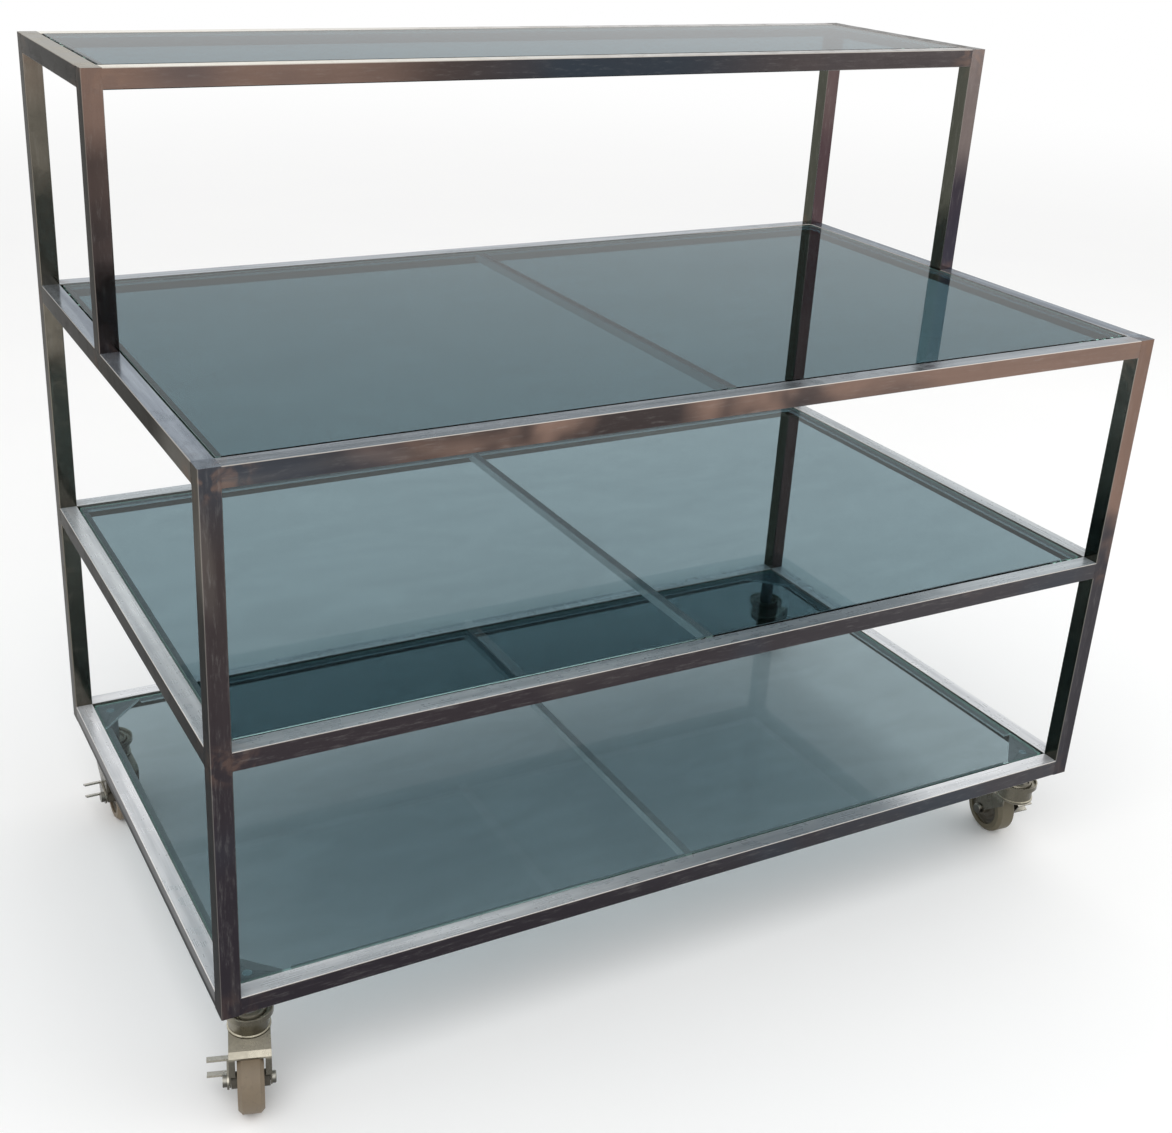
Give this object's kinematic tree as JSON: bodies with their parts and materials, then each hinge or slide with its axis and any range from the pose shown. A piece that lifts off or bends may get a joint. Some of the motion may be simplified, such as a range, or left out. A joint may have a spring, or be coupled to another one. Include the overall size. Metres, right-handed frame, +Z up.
{
  "type": "buffet table",
  "caption": "Wheeled buffet table with a welded square-tube frame, glass shelves, a raised half-depth rear shelf and braked swivel casters.",
  "frame": {"origin": "on the floor, under the middle of the rectangular frame", "axes": "+X along the long side to the right, +Y to the rear where the raised shelf is, +Z up"},
  "size_m": [1.3845, 0.8109, 1.171],
  "materials": {
    "polished_steel": "mirror-polished stainless steel",
    "ledge_steel": "plain satin stainless steel",
    "shelf_glass": "blue-grey tinted float glass with pale green edges",
    "caster_steel": "bright plated pressed steel",
    "bolt_steel": "bright plated steel",
    "brake_steel": "bright plated pressed steel",
    "tread_rubber": "smooth taupe rubber",
    "wheel_core": "matte moulded plastic"
  },
  "bodies": {
    "frame": {"post_front_left": "polished_steel", "post_front_right": "polished_steel", "post_rear_left": "polished_steel", "post_rear_right": "polished_steel", "riser_leg_left": "polished_steel", "riser_leg_right": "polished_steel", "rail_bottom_front": "polished_steel", "rail_bottom_rear": "polished_steel", "rail_bottom_left": "polished_steel", "rail_bottom_right": "polished_steel", "rail_middle_front": "polished_steel", "rail_middle_rear": "polished_steel", "rail_middle_left": "polished_steel", "rail_middle_right": "polished_steel", "rail_main_front": "polished_steel", "rail_main_rear": "polished_steel", "rail_main_left": "polished_steel", "rail_main_right": "polished_steel", "rail_riser_front": "polished_steel", "rail_riser_rear": "polished_steel", "rail_riser_left": "polished_steel", "rail_riser_right": "polished_steel", "bar_bottom": "polished_steel", "bar_middle": "polished_steel", "bar_main": "polished_steel", "ledges_bottom": "ledge_steel", "ledges_middle": "ledge_steel", "ledges_main": "ledge_steel", "ledges_riser": "ledge_steel", "glass_bottom": "shelf_glass", "glass_middle": "shelf_glass", "glass_main": "shelf_glass", "glass_riser": "shelf_glass", "corner_plates": "ledge_steel", "stem_sockets": "ledge_steel", "caster_stems": "caster_steel", "caster_front_left_head": "caster_steel", "caster_front_right_head": "caster_steel", "caster_rear_left_head": "caster_steel", "caster_rear_right_head": "caster_steel"},
    "fork_front_left": {"caster_front_left_fork": "caster_steel", "caster_front_left_axle": "bolt_steel"},
    "wheel_front_left": {"caster_front_left_tread": "tread_rubber", "caster_front_left_wheel": "wheel_core"},
    "brake_front_left": {"caster_front_left_brake": "brake_steel"},
    "fork_front_right": {"caster_front_right_fork": "caster_steel", "caster_front_right_axle": "bolt_steel"},
    "wheel_front_right": {"caster_front_right_tread": "tread_rubber", "caster_front_right_wheel": "wheel_core"},
    "brake_front_right": {"caster_front_right_brake": "brake_steel"},
    "fork_rear_left": {"caster_rear_left_fork": "caster_steel", "caster_rear_left_axle": "bolt_steel"},
    "wheel_rear_left": {"caster_rear_left_tread": "tread_rubber", "caster_rear_left_wheel": "wheel_core"},
    "brake_rear_left": {"caster_rear_left_brake": "brake_steel"},
    "fork_rear_right": {"caster_rear_right_fork": "caster_steel", "caster_rear_right_axle": "bolt_steel"},
    "wheel_rear_right": {"caster_rear_right_tread": "tread_rubber", "caster_rear_right_wheel": "wheel_core"},
    "brake_rear_right": {"caster_rear_right_brake": "brake_steel"}
  },
  "joints": [
    {"name": "swivel_front_left", "type": "hinge", "parent": "frame", "child": "fork_front_left", "pos_m": [-0.623, -0.337, 0.04], "axis": [0, 0, 1], "continuous": true},
    {"name": "roll_front_left", "type": "hinge", "parent": "fork_front_left", "child": "wheel_front_left", "pos_m": [-0.63586, -0.37908, 0.04], "axis": [-0.9563, 0.2924, 0], "continuous": true},
    {"name": "brake_front_left", "type": "hinge", "parent": "fork_front_left", "child": "brake_front_left", "pos_m": [-0.63586, -0.37908, 0.04], "axis": [-0.9563, 0.2924, 0], "range_deg": [0, 15]},
    {"name": "swivel_front_right", "type": "hinge", "parent": "frame", "child": "fork_front_right", "pos_m": [0.623, -0.337, 0.04], "axis": [0, 0, 1], "continuous": true},
    {"name": "roll_front_right", "type": "hinge", "parent": "fork_front_right", "child": "wheel_front_right", "pos_m": [0.62607, -0.29311, 0.04], "axis": [0.9976, -0.0698, 0], "continuous": true},
    {"name": "brake_front_right", "type": "hinge", "parent": "fork_front_right", "child": "brake_front_right", "pos_m": [0.62607, -0.29311, 0.04], "axis": [0.9976, -0.0698, 0], "range_deg": [0, 15]},
    {"name": "swivel_rear_left", "type": "hinge", "parent": "frame", "child": "fork_rear_left", "pos_m": [-0.623, 0.337, 0.04], "axis": [0, 0, 1], "continuous": true},
    {"name": "roll_rear_left", "type": "hinge", "parent": "fork_rear_left", "child": "wheel_rear_left", "pos_m": [-0.623, 0.293, 0.04], "axis": [-1, 0, 0], "continuous": true},
    {"name": "brake_rear_left", "type": "hinge", "parent": "fork_rear_left", "child": "brake_rear_left", "pos_m": [-0.623, 0.293, 0.04], "axis": [-1, 0, 0], "range_deg": [0, 15]},
    {"name": "swivel_rear_right", "type": "hinge", "parent": "frame", "child": "fork_rear_right", "pos_m": [0.623, 0.337, 0.04], "axis": [0, 0, 1], "continuous": true},
    {"name": "roll_rear_right", "type": "hinge", "parent": "fork_rear_right", "child": "wheel_rear_right", "pos_m": [0.66111, 0.359, 0.04], "axis": [0.5, -0.866, 0], "continuous": true},
    {"name": "brake_rear_right", "type": "hinge", "parent": "fork_rear_right", "child": "brake_rear_right", "pos_m": [0.66111, 0.359, 0.04], "axis": [0.5, -0.866, 0], "range_deg": [0, 15]}
  ]
}
